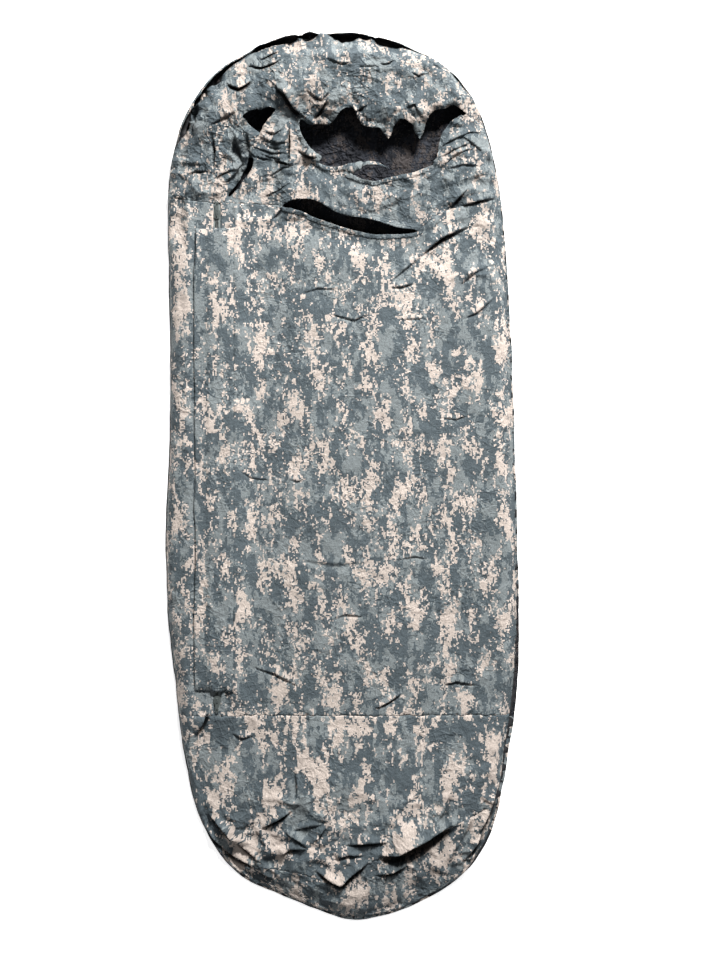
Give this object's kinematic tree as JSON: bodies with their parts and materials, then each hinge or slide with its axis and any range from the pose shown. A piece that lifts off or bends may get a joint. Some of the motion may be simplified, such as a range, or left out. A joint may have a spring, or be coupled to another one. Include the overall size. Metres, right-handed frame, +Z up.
{
  "type": "bivy sack",
  "caption": "Mummy-shaped waterproof bivy sack lying empty and flat, with hood, face opening, chin band, side zipper under a snapped storm flap and rounded foot.",
  "frame": {"origin": "on the ground under the centre of the bag's outline", "axes": "+Y towards the head along the bag's length, +X to the right seen from above with the head away from the viewer, +Z up"},
  "size_m": [0.8802, 2.2103, 0.0941],
  "materials": {
    "camo_laminate": "matte woven nylon, pixel camouflage print",
    "floor_laminate": "matte woven nylon, pixel camouflage print outside, near-black film inside",
    "dark_lining": "near-black knit-backed film",
    "hem_fabric": "folded and stitched hem",
    "seam_tape": "welded waterproof tape",
    "zipper_tape": "woven zipper tape",
    "zipper_coil": "nylon coil",
    "slider_metal": "black painted die-cast zinc",
    "snap_metal": "black oxide brass"
  },
  "bodies": {
    "bag": {"floor_panel": "floor_laminate", "head_wall": "camo_laminate", "foot_panel": "camo_laminate", "foot_gusset": "camo_laminate", "front_panel": "camo_laminate", "left_panel": "camo_laminate", "chin_band": "camo_laminate", "hood_panel": "camo_laminate", "brow_hem": "hem_fabric", "chin_hem": "hem_fabric", "chin_lower_hem": "hem_fabric", "front_upper_hem": "hem_fabric", "foot_seam_tape": "seam_tape", "gusset_seam_tape": "seam_tape", "chin_seam_tape": "seam_tape", "perimeter_seam_tape": "seam_tape", "zipper_tape_left": "zipper_tape", "zipper_tape_right": "zipper_tape", "zipper_coil_left": "zipper_coil", "zipper_coil_right": "zipper_coil", "zipper_top_stops": "slider_metal", "zipper_bottom_stop": "slider_metal", "flap_welt": "camo_laminate", "snap_studs": "snap_metal", "snap_posts": "snap_metal"},
    "flap": {"storm_flap": "camo_laminate", "flap_lining": "dark_lining", "snap_caps": "snap_metal", "snap_sockets": "snap_metal"},
    "upper_slider": {"upper_slider": "slider_metal"},
    "upper_pull": {"upper_slider_pull": "slider_metal"},
    "lower_slider": {"lower_slider": "slider_metal"},
    "lower_pull": {"lower_slider_pull": "slider_metal"}
  },
  "joints": [
    {"name": "storm_flap_hinge", "type": "hinge", "parent": "bag", "child": "flap", "pos_m": [-0.28, 0.04, 0.0473], "axis": [0, 1, 0], "range_deg": [0, 165]},
    {"name": "upper_slider_slide", "type": "slide", "parent": "bag", "child": "upper_slider", "axis": [0, -1, 0], "range_m": [0, 0.54]},
    {"name": "upper_pull_hinge", "type": "hinge", "parent": "upper_slider", "child": "upper_pull", "pos_m": [-0.31, 0.647, 0.0432], "axis": [1, 0, 0], "range_deg": [0, 165]},
    {"name": "lower_slider_slide", "type": "slide", "parent": "bag", "child": "lower_slider", "axis": [0, 1, 0], "range_m": [0, 0.54]},
    {"name": "lower_pull_hinge", "type": "hinge", "parent": "lower_slider", "child": "lower_pull", "pos_m": [-0.31, -0.555, 0.0432], "axis": [-1, 0, 0], "range_deg": [0, 165]}
  ]
}
